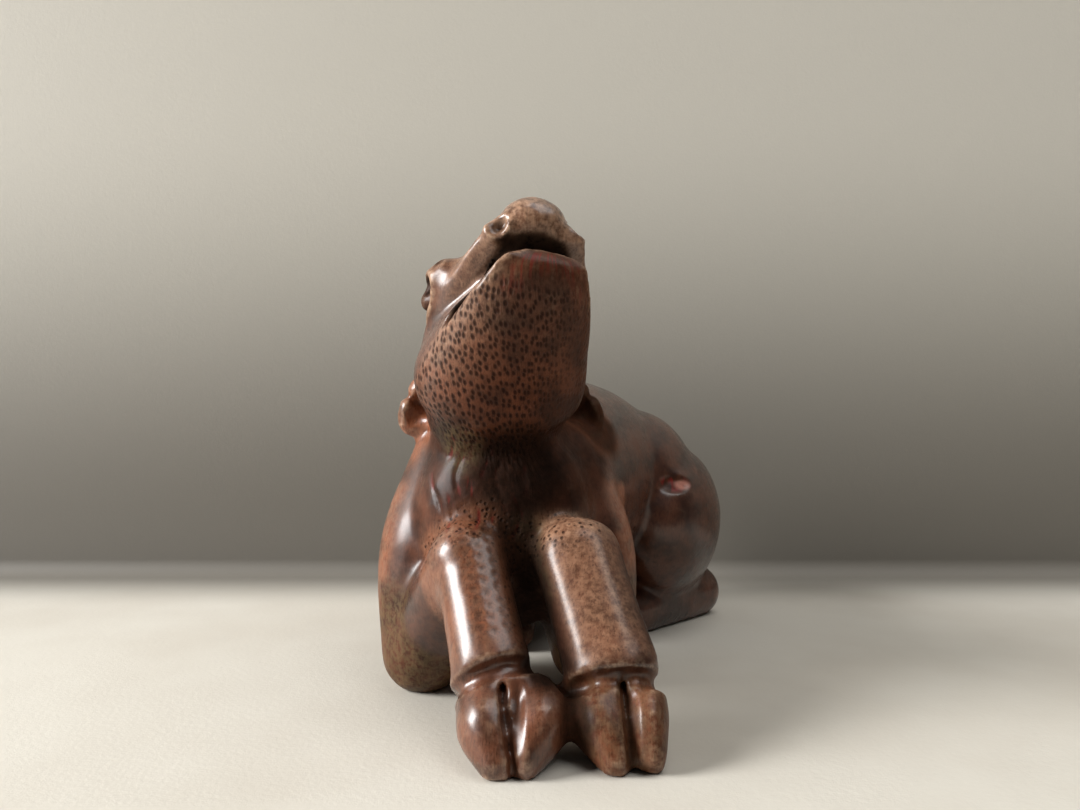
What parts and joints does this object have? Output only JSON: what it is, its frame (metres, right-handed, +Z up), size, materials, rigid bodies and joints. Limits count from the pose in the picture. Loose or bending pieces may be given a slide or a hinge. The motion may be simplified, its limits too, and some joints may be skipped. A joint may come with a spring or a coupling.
{
  "type": "carved wooden deer statue",
  "caption": "Small one-piece carved wooden deer, lying down with its head thrown back, forelegs bent in front and flat places underneath to rest on.",
  "frame": {"origin": "on the surface it rests on, under the middle of its outline seen from above", "axes": "the deer faces -Y, its body recedes towards +Y, +X is to the right of someone facing it, +Z up"},
  "size_m": [0.0622, 0.0974, 0.0707],
  "materials": {
    "stained_wood": "dark red-brown stained hardwood, polished by handling, dark in the cuts"
  },
  "bodies": {
    "root": {"deer_figure": "stained_wood"}
  },
  "joints": []
}
